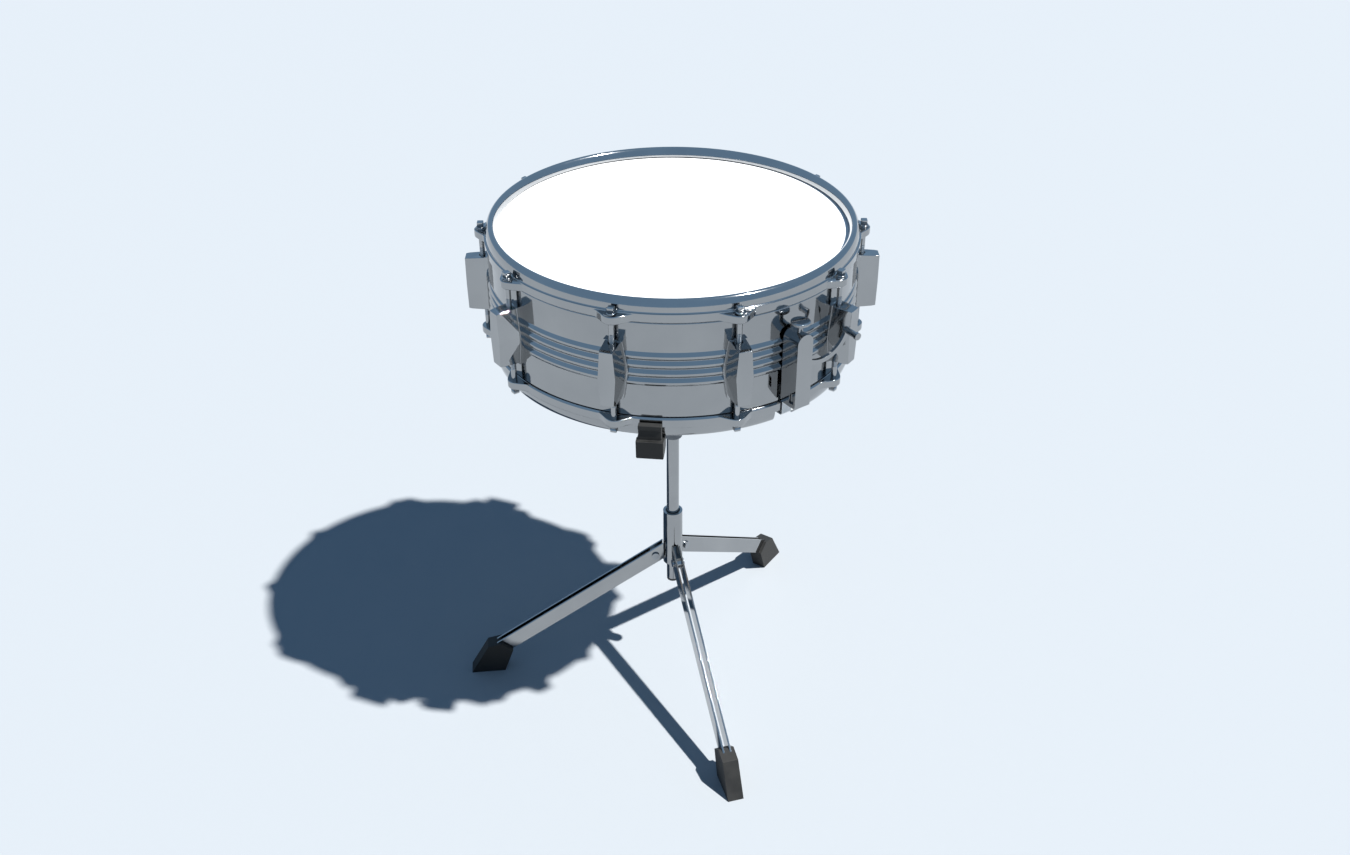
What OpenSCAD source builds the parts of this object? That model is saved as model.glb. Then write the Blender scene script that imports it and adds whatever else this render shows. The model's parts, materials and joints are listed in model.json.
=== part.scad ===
// Snare drum with cast hoops, resting in a basket on a folding three-legged stand.
// Millimetres, +Z up. The origin is on the floor, straight below the middle of the drum.
// Azimuths are in degrees, counter-clockwise from +X seen from above.
// A module drawn "in section" uses x as the distance from the vertical axis and y as height.

/* [Drum] */
// Height of the drum's middle plane above the floor
drum_mid_z = 507.4; // [500:0.1:515]
// Outer radius of the metal shell between its shoulders
shell_r = 184.5; // [184.3:0.1:184.6]
// Outer radius of the shell's neck, which the heads slip over
neck_r = 177.1; // [176.8:0.1:177.2]
// Thickness of the shell's sheet metal
shell_wall = 1.2; // [0.8:0.1:1.5]
// Distance from the middle plane to each bearing edge
edge_h = 60.35; // [60:0.05:60.4]
// Distance from the middle plane to where each shoulder starts
shoulder_h = 48; // [44:0.5:48.5]
// Number of raised beads round the shell
bead_count = 4; // [2:1:4]
// Distance between two beads
bead_pitch = 8.9; // [7:0.1:9]
// How far a bead stands out of the shell
bead_rise = 2.5; // [1.5:0.1:2.6]
// Thickness of the drumheads' film
film = 0.4; // [0.3:0.05:0.4]

/* [Hoops and rods] */
// Number of lugs round the shell
lug_count = 10; // [8:2:10]
// Azimuth of the first lug
lug_az = 0.9; // [0:0.1:2]
// Radius of the circle that the tension rods stand on
rod_circle_r = 190.5; // [190.3:0.1:190.7]
// Radius of a tension rod
rod_r = 2.75; // [2.5:0.05:2.8]
// How far a hoop's rounded rim rises over its ledge
rim_rise = 12.4; // [11:0.1:12.6]
// Half the thickness of a hoop's rim
rim_half = 5.5; // [5:0.1:5.6]
// How far the ears reach from the vertical axis
ear_reach = 197; // [196:0.5:198]
// Thickness of an ear
ear_t = 7.8; // [6:0.1:8]

/* [Lug casings] */
// Distance from the vertical axis to a casing's front face
casing_front = 208; // [206:0.5:209]
// Half the width of a casing's flange at mid-height
casing_half_w = 14; // [13:0.1:14.6]
// Thickness of a casing's walls
casing_wall = 1.6; // [1.2:0.1:2]

/* [Snares] */
// Azimuth of the strainer; the butt sits opposite
strainer_az = 305.5; // [305:0.5:307]
// Number of snare wires
wire_count = 20; // [12:2:20]
// Radius of a snare wire's coil
wire_r = 0.9; // [0.7:0.1:0.9]
// Half the length of the snare wires
wire_half = 155; // [140:1:158]

/* [Stand] */
// Azimuths of the three legs: right, left and front
leg_az = [56.1, 186.3, 286.3];
// Angle of a leg below the horizontal
leg_slope = 33.6; // [33.4:0.1:33.8]
// Distance from the vertical axis to a leg's hinge pin
leg_pin_x = 20.5; // [20.5:0.1:21]
// Height of the legs' hinge pins
leg_pin_z = 155.6; // [155:0.1:156]
// Width of the two strips of a leg
strip_w = 18; // [16:0.5:18]
// Thickness of a strip
strip_t = 2; // [1.5:0.1:2]
// Clear gap between a leg's two strips
strip_gap = 5.8; // [5.8:0.1:7]
// Outer radius of the leg collar
collar_r = 11; // [10.5:0.1:11]
// Outer radius of the height column
column_r = 7; // [6.5:0.1:7]
// Azimuths of the three basket arms: front, right rear and left rear
arm_az = [263.8, 18.9, 154.5];
// Height of the tilter's hinge
tilt_z = 350; // [349:0.5:352]

/* [Hidden] */
$fn = 96;

// clearances
fit = 0.05;          // radial clearance of a running fit
air = 0.3;           // gap between two bodies that pass each other
touch = 0.02;        // gap between two pieces of one body that press together

// drum, as distances from the middle plane
neck_h = 51;                              // end of the shoulder, on the neck
edge_bevel = 1.5;                         // height of the bevel outside a bearing edge
film_end_h = 51.3;                        // where a drumhead's collar ends
flesh_hoop_t = 5;                         // height of the ring that holds a head's edge
bead_mid = 2;                             // middle of the bead group
bead_half = bead_count * bead_pitch / 2;
bead_steps = 10;                          // straight steps that one bead is drawn with
valley = bead_pitch;                      // from the group's middle to a screw's valley
head_h = edge_h + touch + film;           // outer face of a drumhead
ledge_h = 59.2;                           // outer face of a hoop's ledge
ledge_t = 2.8;
skirt_h = 49.5;                           // inner end of a hoop's skirt
hoop_in = 178.2;                          // wall that passes the drumhead
rim_mid_r = 179.4;                        // middle of the rounded rim
rim_under_h = 62.3;                       // underside of the rim, over the drumhead
skirt_out = 186.5;
skirt_t = 2.4;
skirt_bevel = 1.6;                        // outer bevel of the skirt's end
ear_h = 57.8;                             // outer face of an ear
ear_half = 6;                             // half the angle that an ear takes up
hole_r = 3.1;
washer_t = 1;
washer_r = 5.2;
flange_t = 1.2;
key_h = 5.2;                              // height of a rod's square head
key_w = 6.2;
nut_h = 18.4;                             // inner end of a swivel nut
nut_len = 8.8;
nut_r = 4.2;
rod_end_h = 14.6;

// lug casings: half widths of their outline, and where its corners lie
casing_front_half = 8.3;
casing_side_half = 13;                    // at the foot, at mid-height
casing_end_half = 6.2;
casing_side_end_half = 7.8;               // at the foot, at the casing's end
casing_end_h = 27.9;
casing_chin = 3.8;                        // depth of the small facet at the end
foot_over = 1.2;                          // how far the flange stands over the beads
casing_foot_h = 30.3;
casing_foot_half = 9;
base_r = shell_r - 2;                     // what sits on the shell is drawn from here, then cut
seat_r = shell_r + 0.1;                   // and this is the radius that it is cut to
bead_seat_r = shell_r + bead_rise + air;
boss_r = 3.4;
screw_r = 1.9;
screw_head_r = 3.5;

// snares, in the frame whose +X points at the strainer
snare_z = drum_mid_z - head_h - air - wire_r;
wire_pitch = 2.1;
plate_z = snare_z - wire_r - 0.1;         // upper face of an end plate
plate_t = 1;
strap_t = 0.5;
strap_half = 7;
strap_r = 187.6;                          // inner face of a strap's upright end
strap_z = plate_z - plate_t - 0.05 - strap_t;
gate_half = 12;

// strainer, in the same frame: x is the distance from the axis, y runs along the shell
body_half = 9;
body_low = 460;
body_high = 536.5;
pocket_half = 7.2;
pocket_x = 200.4;
pocket_top = 500;
slot_x0 = 202.8;                          // slot that the lever swings in
slot_x1 = 206.6;
slot_low = 461.5;
slot_high = 520;
lever_z = 505;
lever_hub_r = 6;
lever_pin_r = 2.5;
knob_x = 199.5;
knob_z = 544.2;                           // underside of the knob's cap
knob_screw_r = 2.5;
knob_screw_end = 494;
window_x = 199.5;
window_z = 464;
slider_low = 462;
slider_high = 490;

// butt plate, in the frame whose +X points at the butt
butt_half = 15;
butt_low = 459;
butt_high = 484;
butt_front = 186.9;                       // face that the strap lies against
butt_screw_y = 10;
butt_screw_z = 480;                       // screws into the shell
clamp_screw_z = 466;                      // screws through the clamp
clamp_x0 = 188.5;
clamp_x1 = 191.5;
clamp_h = 10;                             // height of the two clamps on the straps

// vent hole, half-way between two lugs and below the beads
vent_az = lug_az + 54;
vent_h = -30;
vent_r = 4;

// legs, in the frame whose origin is the hinge pin and whose +X runs down the leg
pin_r = 2.95;
strip_half = strip_w / 2;
leg_end = 230;
tongue_t = strip_gap - 2 * air;
leg_half_w = strip_gap / 2 + strip_t;
stop_x = collar_r + 0.5 - leg_pin_x;      // upright inner end that stops against the collar

// column, tilter and basket
collar_low = 145;
collar_high = 216.5;
bush_r = 8.3;
clamp_z = 203;
tube_low = 121;
tube_high = 330;
screw3_r = 3;                             // radius of the two wing screws
ear_r = 9;
stem_r = 6;
arm_pin_x = 30;
arm_pin_z = 392;
arm_pin_r = 2.45;
arm_boss_r = 6.4;
toe_x = 14;
toe_r = 3.9;
arm_t = 6;
arm_tip_x = 191;
arm_tip_z = 427;
hub_z = 404;
hub_r = 17;
stem_top = 414;
nut_z = 368;                              // lower face of the basket's knurled nut
nut_t = 12;

// ---------- helpers ----------

// Puts its children at an azimuth round the drum's axis, with +X pointing outwards
module round_at(az, r = 0, z = 0) {
    rotate([0, 0, az]) translate([r, 0, z]) children();
}

module at_lugs() {
    for (i = [0:lug_count - 1])
        round_at(lug_az + i * 360 / lug_count) children();
}

// Draws in the drum's own height, counted from the middle plane
module on_drum() {
    translate([0, 0, drum_mid_z]) children();
}

// The same below the middle plane
module under_drum() {
    on_drum() mirror([0, 0, 1]) children();
}

// Extrudes an outline in section sideways, centred on the section
module thick(t) {
    rotate([90, 0, 0]) linear_extrude(height = t, center = true) children();
}

// Extrudes an outline drawn in (sideways, up) outwards, from x0 to x1
module outward(x0, x1) {
    translate([x0, 0, 0]) rotate([90, 0, 90]) linear_extrude(height = x1 - x0) children();
}

// A cylinder along +X from x0 to x1
module bar_x(r, x0, x1) {
    translate([x0, 0, 0]) rotate([0, 90, 0]) cylinder(r = r, h = x1 - x0);
}

// A cylinder along Y, centred
module bar_y(r, len) {
    rotate([90, 0, 0]) cylinder(r = r, h = len, center = true);
}

module tube(r_out, r_in, h) {
    difference() {
        cylinder(r = r_out, h = h);
        translate([0, 0, -1]) cylinder(r = r_in, h = h + 2);
    }
}

function arc(cx, cy, rx, ry, a0, a1, n) =
    [for (i = [0:n]) let (a = a0 + (a1 - a0) * i / n) [cx + rx * cos(a), cy + ry * sin(a)]];

function reversed(list) = [for (i = [len(list) - 1:-1:0]) list[i]];

// ---------- drum: shell and heads ----------

// A bead's height at the fraction t of its pitch: a rounded ridge with a sharp valley either side
function bead_at(t) = bead_rise * (1 - pow(abs(2 * t - 1), 1.6));

// Radius and height along the shell's beads, for a sheet surface lying at radius r
function bead_line(r) =
    [for (i = [0:bead_steps * bead_count])
        [r + bead_at((i % bead_steps) / bead_steps),
         bead_mid - bead_half + i * bead_pitch / bead_steps]];

// One sheet surface from the lower bearing edge to the upper one; a bevel shortens it at both
function shell_line(body, neck, drop, bevel) = let (
    top = arc(neck, shoulder_h, body - neck, neck_h - shoulder_h - drop, 0, 90, 8),
    low = [for (p = reversed(top)) [p.x, -p.y]])
    concat([[neck, bevel - edge_h]], low, bead_line(body), top, [[neck, edge_h - bevel]]);

module screw_spots() {
    at_lugs() for (h = [-valley, valley]) translate([0, 0, bead_mid + h]) children();
}

module strainer_spots() {
    rotate([0, 0, strainer_az]) for (h = [0, valley]) translate([0, 0, bead_mid + h]) children();
}

module butt_spots() {
    rotate([0, 0, strainer_az + 180])
        for (y = [-butt_screw_y, butt_screw_y])
            translate([0, y, butt_screw_z - drum_mid_z]) children();
}

module shell() {
    outer = shell_line(shell_r, neck_r, 0, edge_bevel);
    inner = shell_line(shell_r - shell_wall, neck_r - shell_wall, shell_wall, 0);
    color("silver") on_drum() difference() {
        rotate_extrude($fn = 180) polygon(concat(outer, reversed(inner)));
        screw_spots() bar_x(screw_r + 0.2, shell_r - 10, shell_r + 10);
        strainer_spots() bar_x(screw_r + 0.2, shell_r - 10, shell_r + 10);
        butt_spots() bar_x(screw_r + 0.2, shell_r - 10, shell_r + 10);
        rotate([0, 0, vent_az]) translate([0, 0, vent_h])
            bar_x(vent_r + 2 + fit, shell_r - 10, shell_r + 10);
    }
}

// Film disc with a rounded corner and a collar that runs down into the flesh hoop
module head_film() {
    wall_out = neck_r + touch + film + 0.2;
    bend = 1.6;
    top = arc(wall_out - bend, head_h - bend, bend, bend, 90, 0, 6);
    under = arc(wall_out - bend, head_h - bend, bend - film, bend - film, 0, 90, 6);
    rotate_extrude($fn = 180) polygon(concat(
        [[0, head_h]], top, [[wall_out, film_end_h], [wall_out - film, film_end_h]],
        under, [[0, head_h - film]]));
}

module flesh_hoop_ring() {
    translate([0, 0, film_end_h]) tube(skirt_out - skirt_t - air, neck_r + film + air, flesh_hoop_t);
}

module batter_head() {
    color("white") on_drum() head_film();
}

module snare_side_head() {
    color("ivory") under_drum() head_film();
}

module batter_flesh_hoop() {
    color("gainsboro") on_drum() flesh_hoop_ring();
}

module snare_side_flesh_hoop() {
    color("gainsboro") under_drum() flesh_hoop_ring();
}

// ---------- drum: hoops, rods and lugs ----------

// A tall rounded rim that hangs over the drumhead, a narrow ledge and a skirt
module hoop_section() {
    under = asin((rim_under_h - ledge_h) / rim_rise);
    skirt_in = skirt_out - skirt_t;
    polygon(concat(
        arc(rim_mid_r, ledge_h, rim_half, rim_rise, 0, 180 - under, 18),
        [[hoop_in, rim_under_h], [hoop_in, ledge_h - ledge_t], [skirt_in, ledge_h - ledge_t],
         [skirt_in, skirt_h], [skirt_out - skirt_bevel, skirt_h],
         [skirt_out, skirt_h + skirt_bevel], [skirt_out, ledge_h]]));
}

// An ear's outline flares smoothly out of the skirt; its hole is spot-faced for the washer
module ear_outline() {
    root = skirt_out - skirt_t / 2;
    steps = 14;
    rim = [for (i = [0:steps])
        let (a = ear_half * (2 * i / steps - 1),
             r = skirt_out - 0.2 + (ear_reach - skirt_out + 0.2) * pow(cos(90 * a / ear_half), 2))
        [r * cos(a), r * sin(a)]];
    polygon(concat(
        [[root * cos(ear_half), -root * sin(ear_half)]], rim,
        [[root * cos(ear_half), root * sin(ear_half)], [root, 0]]));
}

module hoop() {
    difference() {
        union() {
            rotate_extrude($fn = 180) hoop_section();
            at_lugs() translate([0, 0, ear_h - ear_t]) linear_extrude(height = ear_t) ear_outline();
        }
        at_lugs() translate([rod_circle_r, 0, ear_h - ear_t - 1]) cylinder(r = hole_r, h = ear_t + 2);
        at_lugs() translate([rod_circle_r, 0, ear_h]) cylinder(r = washer_r + air, h = ledge_h);
    }
}

module top_hoop() {
    color("lightsteelblue") on_drum() hoop();
}

// The lower hoop has a gate cut in its rim at each end of the snares
module bottom_hoop() {
    color("lightsteelblue") difference() {
        under_drum() hoop();
        for (az = [strainer_az, strainer_az + 180])
            round_at(az) translate([hoop_in - 10, -gate_half, drum_mid_z - ledge_h - rim_rise - 1])
                cube([20, 2 * gate_half, rim_rise + 1]);
    }
}

// Rod, flange and square key head, pointing up out of the ear
module tension_rod() {
    seat = ear_h + washer_t + touch;
    translate([rod_circle_r, 0, rod_end_h]) cylinder(r = rod_r, h = seat - rod_end_h + 1);
    translate([rod_circle_r, 0, seat]) cylinder(r = 4.6, h = flange_t);
    translate([rod_circle_r - key_w / 2, -key_w / 2, seat + flange_t])
        cube([key_w, key_w, key_h]);
}

module top_tension_rods() {
    color("silver") on_drum() at_lugs() tension_rod();
}

module bottom_tension_rods() {
    color("silver") under_drum() at_lugs() tension_rod();
}

module washer_ring() {
    at_lugs() translate([rod_circle_r, 0, ear_h]) tube(washer_r, rod_r + fit, washer_t);
}

module rod_washers() {
    color("dimgray") {
        on_drum() washer_ring();
        under_drum() washer_ring();
    }
}

module nut_ring() {
    at_lugs() translate([rod_circle_r, 0, nut_h]) tube(nut_r, rod_r + fit, nut_len);
}

module swivel_nuts() {
    color("darkgoldenrod") {
        on_drum() nut_ring();
        under_drum() nut_ring();
    }
}

// The shell's outside, grown by a hair, for cutting seats into what sits on it
module shell_seat() {
    translate([0, 0, -100]) cylinder(r = seat_r, h = 200, $fn = 360);
    translate([0, 0, bead_mid - bead_half]) cylinder(r = bead_seat_r, h = 2 * bead_half, $fn = 360);
}

// Corners of a casing, all drawn inwards by inset: a narrow flat front and sides that slope out
// to the foot, widest at mid-height
function casing_corners(inset) = let (
    front = casing_front - inset,
    end = casing_end_h - inset)
    [for (v = [-1, 1], s = [-1, 1], p = [
        [base_r, casing_side_half, 0],
        [front, casing_front_half, 0],
        [front, casing_end_half, end],
        [front - casing_chin, casing_end_half + 0.6, end + 0.5],
        [base_r, casing_side_end_half, end + 1.6]])
        [p[0], s * (p[1] - inset), v * p[2]]];

module casing_block(inset) {
    corners = casing_corners(inset);
    hull() polyhedron(corners, [[for (i = [0:len(corners) - 1]) i]]);
}

// Thin flange round a casing's foot, widest at mid-height
module casing_foot() {
    outward(base_r, shell_r + bead_rise + foot_over) polygon([
        [casing_half_w, 0], [casing_foot_half, casing_foot_h],
        [-casing_foot_half, casing_foot_h], [-casing_half_w, 0],
        [-casing_foot_half, -casing_foot_h], [casing_foot_half, -casing_foot_h]]);
}

module lug_casing(i) {
    color("gainsboro") on_drum() rotate([0, 0, lug_az + (i - 1) * 360 / lug_count]) difference() {
        union() {
            difference() {
                union() {
                    casing_block(0);
                    casing_foot();
                }
                casing_block(casing_wall);
            }
            for (h = [-valley, valley])
                translate([0, 0, bead_mid + h]) bar_x(boss_r, shell_r, casing_front - 1);
        }
        shell_seat();
        translate([rod_circle_r, 0, -50]) cylinder(r = hole_r + 0.2, h = 100);
        for (h = [-valley, valley])
            translate([0, 0, bead_mid + h]) bar_x(screw_r + fit, shell_r - 5, shell_r + 13);
    }
}

module shell_screw() {
    inside = shell_r - shell_wall - 0.8;
    bar_x(screw_r, inside - 1, shell_r + 11);
    bar_x(screw_head_r, inside - 2, inside);
}

module shell_screws() {
    color("gray") on_drum() {
        screw_spots() shell_screw();
        strainer_spots() shell_screw();
        butt_spots() intersection() {
            shell_screw();
            bar_x(10, 0, butt_front - 0.6);
        }
    }
}

// Rolled tube that lets air out of the drum
module vent_grommet() {
    color("gold") on_drum() rotate([0, 0, vent_az]) translate([0, 0, vent_h]) difference() {
        union() {
            bar_x(vent_r + 2, shell_r - 3, shell_r + 1.4);
            bar_x(vent_r + 4, shell_r + 0.1, shell_r + 1.4);
            bar_x(vent_r + 3.2, shell_r - 3, shell_r - shell_wall - 0.2);
        }
        bar_x(vent_r, shell_r - 5, shell_r + 5);
    }
}

// ---------- snares, strainer and butt ----------

module strainer_frame() {
    rotate([0, 0, strainer_az]) children();
}

module strainer_outline() {
    translate([-body_half, body_low]) square([2 * body_half, body_high - body_half - body_low]);
    translate([0, body_high - body_half]) circle(r = body_half);
}

module strainer_body() {
    color("gray") strainer_frame() difference() {
        outward(bead_seat_r, casing_front) strainer_outline();
        // pocket for the slider, open below and towards the shell
        translate([shell_r - 5, -pocket_half, body_low - 1])
            cube([pocket_x - shell_r + 5, 2 * pocket_half, pocket_top - body_low + 1]);
        // slot for the lever, open on its right side
        difference() {
            translate([slot_x0, -pocket_half, slot_low])
                cube([slot_x1 - slot_x0, body_half + pocket_half + 1, slot_high - slot_low]);
            translate([0, 0, lever_z]) bar_x(lever_pin_r, slot_x0 - 1, slot_x1 + 1);
        }
        // bore for the knob's screw
        translate([knob_x, 0, pocket_top - 8])
            cylinder(r = knob_screw_r + fit, h = body_high - pocket_top + 9);
        for (h = [0, valley])
            translate([0, 0, drum_mid_z + bead_mid + h])
                bar_x(screw_r + fit, shell_r - 5, shell_r + 11.5);
        // small side window low on the left
        translate([window_x, -body_half - 1, window_z]) cube([6, 3, 11]);
    }
}

// Block that carries the snare strap up and down
module strainer_slider() {
    color("slategray") strainer_frame()
        translate([strap_r + strap_t + 0.7, 0, slider_low]) difference() {
            translate([0, -pocket_half + air, 0])
                cube([pocket_x - air - strap_r - strap_t - 0.7, 2 * (pocket_half - air),
                      slider_high - slider_low]);
            translate([5, 0, 14]) bar_y(2.5, 40);
        }
}

module strap_clamp() {
    color("silver") strainer_frame() translate([shell_r + 1, -pocket_half + air, slider_low + 2])
        cube([strap_r - air - shell_r - 1, 2 * (pocket_half - air), clamp_h]);
}

// The lever's arm leaves its hub and curves up to the handle along an arc
lever_arc = [22.5, lever_z + 27.8];       // its centre, along the shell and up
lever_arc_r = 31.3;
lever_arc_from = -114;
lever_arc_to = -17;
lever_tip = lever_arc + lever_arc_r * [cos(lever_arc_to), sin(lever_arc_to)];

function lever_side(r) =
    arc(lever_arc.x, lever_arc.y, r, r, lever_arc_from, lever_arc_to, 14);

module strainer_lever() {
    half = 2.3;
    color("dimgray") strainer_frame() difference() {
        outward(slot_x0 + air, slot_x1 - air) union() {
            translate([0, lever_z]) circle(r = lever_hub_r);
            polygon(concat([[0, lever_z + half]], [[0, lever_z - half]],
                           lever_side(lever_arc_r + half), reversed(lever_side(lever_arc_r - half))));
            translate(lever_tip) circle(r = 3.4);
        }
        translate([0, 0, lever_z]) bar_x(lever_pin_r + fit, slot_x0 - 1, slot_x1 + 1);
    }
}

module lever_handle() {
    color("black") strainer_frame() translate([0, lever_tip.x, lever_tip.y]) {
        bar_x(3, slot_x1 - air + touch, slot_x1 + 11);
        bar_x(3.6, slot_x1 + 11, slot_x1 + 14);
    }
}

// Flat mushroom knob on the screw that sets the slider's height
module tension_knob() {
    color("silver") strainer_frame() translate([knob_x, 0, 0]) {
        rotate_extrude() polygon([
            [0, knob_screw_end], [knob_screw_r, knob_screw_end], [knob_screw_r, knob_z - 2],
            [3.4, knob_z - 1], [6.5, knob_z], [8.8, knob_z + 0.6], [9.3, knob_z + 1.2],
            [9.3, knob_z + 2.9], [8.8, knob_z + 3.5], [6, knob_z + 3.9], [0, knob_z + 4.1]]);
    }
}

module snare_wires() {
    color("lightgray") strainer_frame()
        for (i = [0:wire_count - 1])
            translate([0, (i - (wire_count - 1) / 2) * wire_pitch, snare_z])
                bar_x(wire_r, -wire_half, wire_half);
}

module snare_end_plates() {
    half = wire_count * wire_pitch / 2 + 1;
    color("peru") strainer_frame() for (s = [-1, 1])
        translate([s * wire_half - (s < 0 ? 8 : 3), -half, plate_z - plate_t])
            cube([11, 2 * half, plate_t]);
}

// Flat strap that leaves an end plate and turns up outside the hoop
module strap_section(top) {
    out = strap_r + strap_t;
    bend = 3;
    outer = arc(out - bend, strap_z + bend, bend, bend, -90, 0, 6);
    inner = arc(out - bend, strap_z + bend, bend - strap_t, bend - strap_t, 0, -90, 6);
    polygon(concat([[wire_half + 1, strap_z]], outer, [[out, top], [strap_r, top]], inner,
                   [[wire_half + 1, strap_z + strap_t]]));
}

module snare_straps() {
    color("whitesmoke") strainer_frame() {
        thick(2 * strap_half) strap_section(slider_low + 12);
        mirror([1, 0, 0]) thick(2 * strap_half) strap_section(464);
    }
}

module butt_frame() {
    rotate([0, 0, strainer_az + 180]) children();
}

module butt_plate() {
    color("gray") butt_frame() difference() {
        outward(shell_r - 6, butt_front) translate([-butt_half, butt_low])
            square([2 * butt_half, butt_high - butt_low]);
        on_drum() shell_seat();
        for (y = [-butt_screw_y, butt_screw_y], z = [butt_screw_z, clamp_screw_z])
            translate([0, y, z]) bar_x(screw_r + fit, shell_r - 5, butt_front + 1);
    }
}

module butt_clamp() {
    color("silver") butt_frame() difference() {
        outward(clamp_x0, clamp_x1) translate([1 - butt_half, clamp_screw_z - clamp_h / 2])
            square([2 * butt_half - 2, clamp_h]);
        for (y = [-butt_screw_y, butt_screw_y])
            translate([0, y, clamp_screw_z]) bar_x(screw_r + fit, clamp_x0 - 1, clamp_x1 + 1);
    }
}

module butt_clamp_screws() {
    color("silver") butt_frame() for (y = [-butt_screw_y, butt_screw_y])
        translate([0, y, clamp_screw_z]) {
            bar_x(screw_r, butt_front - 1.5, clamp_x1 + 0.5);
            bar_x(screw_head_r, clamp_x1 + touch, clamp_x1 + 2.5);
        }
}

// ---------- stand: collar and legs ----------

module leg_frame(az) {
    rotate([0, 0, az]) translate([leg_pin_x, 0, leg_pin_z]) rotate([0, leg_slope, 0]) children();
}

// Vertical sleeve with a tongue for each leg and a boss for the wing screw at the back
module leg_collar() {
    color("silver") difference() {
        union() {
            translate([0, 0, collar_low]) cylinder(r = collar_r, h = collar_high - collar_low);
            for (az = leg_az) rotate([0, 0, az]) thick(tongue_t) union() {
                translate([bush_r, leg_pin_z - 7]) square([leg_pin_x - bush_r, 14]);
                translate([leg_pin_x, leg_pin_z]) circle(r = 7);
            }
            translate([0, 13, clamp_z]) bar_y(6, 9);
        }
        translate([0, 0, collar_low - 1]) cylinder(r = bush_r + touch, h = 80);
        for (az = leg_az) round_at(az, leg_pin_x, leg_pin_z) bar_y(pin_r + touch, 20);
        translate([0, 12, clamp_z]) bar_y(screw3_r + fit, 14);
    }
}

module guide_bush() {
    color("dimgray") difference() {
        translate([0, 0, collar_low]) cylinder(r = bush_r, h = collar_high - collar_low);
        translate([0, 0, collar_low - 1]) cylinder(r = column_r + fit, h = 80);
        translate([0, 10, clamp_z]) bar_y(screw3_r + fit, 10);
    }
}

module leg_pins() {
    head_y = leg_half_w + air;
    color("silver") for (az = leg_az) round_at(az, leg_pin_x, leg_pin_z) {
        bar_y(pin_r, 2 * head_y + 1);
        for (s = [-1, 1]) translate([0, s * (head_y + 0.8), 0]) bar_y(4.5, 1.6);
    }
}

// Outline of a strip: round under the pin, with an upright end above it that stops on the collar
module strip_outline() {
    up = [sin(leg_slope), cos(leg_slope)];
    corner = (stop_x - strip_half * up.x) / up.y;
    difference() {
        union() {
            circle(r = strip_half);
            translate([0, -strip_half]) square([leg_end, strip_w]);
            polygon([[corner, strip_half], [0.5, strip_half], [0.5, 0],
                     [-strip_half * up.y, -strip_half * up.x]]);
        }
        circle(r = pin_r + fit);
    }
}

module leg_strips(az) {
    color("silver") leg_frame(az) for (s = [-1, 1])
        translate([0, s * (strip_gap + strip_t) / 2, 0]) thick(strip_t) strip_outline();
}

// Rubber foot in section: flat on the floor, with a pointed toe
module foot(az) {
    half = 8.8;
    color("black") difference() {
        rotate([0, 0, az]) thick(2 * half)
            polygon([[203.3, 0], [243, 0], [221.3, 37.9], [205.2, 41.4], [192.2, 30.4]]);
        leg_frame(az) for (s = [-1, 1])
            translate([leg_end / 2, s * (strip_gap + strip_t) / 2, 0])
                cube([leg_end + 2 * touch, strip_t + 2 * touch, strip_w + 2 * touch], center = true);
    }
}

// ---------- stand: column and tilter ----------

// Two round lobes on a web, in section, for a wing screw's head
module wing_outline(x) {
    for (s = [-1, 1]) translate([x + 6, 8 * s]) circle(r = 5.5);
    translate([x, -8]) square([7, 16]);
}

module height_screw() {
    color("silver") translate([0, 0, clamp_z]) rotate([0, 0, 90]) {
        bar_x(screw3_r, column_r + 0.4, 24);
        bar_x(5, 18.5, 24);
        thick(4.5) wing_outline(21);
    }
}

module column_tube() {
    color("silver") translate([0, 0, tube_low]) tube(column_r, column_r - 1.5, tube_high - tube_low);
}

module column_plug() {
    color("black") {
        translate([0, 0, tube_low - 3]) cylinder(r = column_r - 0.2, h = 3 - touch);
        translate([0, 0, tube_low - 1]) cylinder(r = column_r - 1.5 - touch, h = 11);
    }
}

module tilter_fork() {
    low = tube_high - 12;
    floor_z = tilt_z - 12;
    color("gray") difference() {
        union() {
            translate([0, 0, low]) cylinder(r = 10.5, h = floor_z - low);
            for (s = [-1, 1]) translate([s * 6.6, 0, 0]) rotate([0, 0, 90]) thick(4.8) union() {
                translate([-ear_r, floor_z - 2]) square([2 * ear_r, tilt_z - floor_z + 2]);
                translate([0, tilt_z]) circle(r = ear_r);
            }
        }
        translate([0, 0, low - 1]) cylinder(r = column_r + touch, h = tube_high - low + 1);
        translate([0, 0, tilt_z]) bar_x(screw3_r + fit, -20, 20);
    }
}

module tilt_screw() {
    color("silver") translate([0, 0, tilt_z]) {
        bar_x(screw3_r, -12, 16);
        bar_x(6, -13, -ear_r - air);
        bar_x(6, ear_r + air, 15);
        thick(4.5) wing_outline(12);
    }
}

// ---------- stand: basket ----------

module basket_stem() {
    shoulder = tilt_z + 12;
    color("silver") difference() {
        union() {
            rotate([0, 0, 90]) thick(7.8) union() {
                translate([0, tilt_z]) circle(r = ear_r - air);
                translate([-8, tilt_z]) square([16, 13]);
            }
            translate([0, 0, shoulder]) cylinder(r = ear_r, h = 4);
            translate([0, 0, shoulder]) cylinder(r = stem_r, h = stem_top - shoulder);
        }
        translate([0, 0, tilt_z]) bar_x(screw3_r + fit, -20, 20);
    }
}

// Cheek that holds a basket arm's pin, in section
module cheek_outline() {
    polygon([[12, hub_z + 0.5], [12, hub_z + 7.5], [17, hub_z + 7.5], [37, 399],
             [37, 385.5], [24, 385.5], [19, 392], [19, hub_z + 0.5]]);
}

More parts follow.
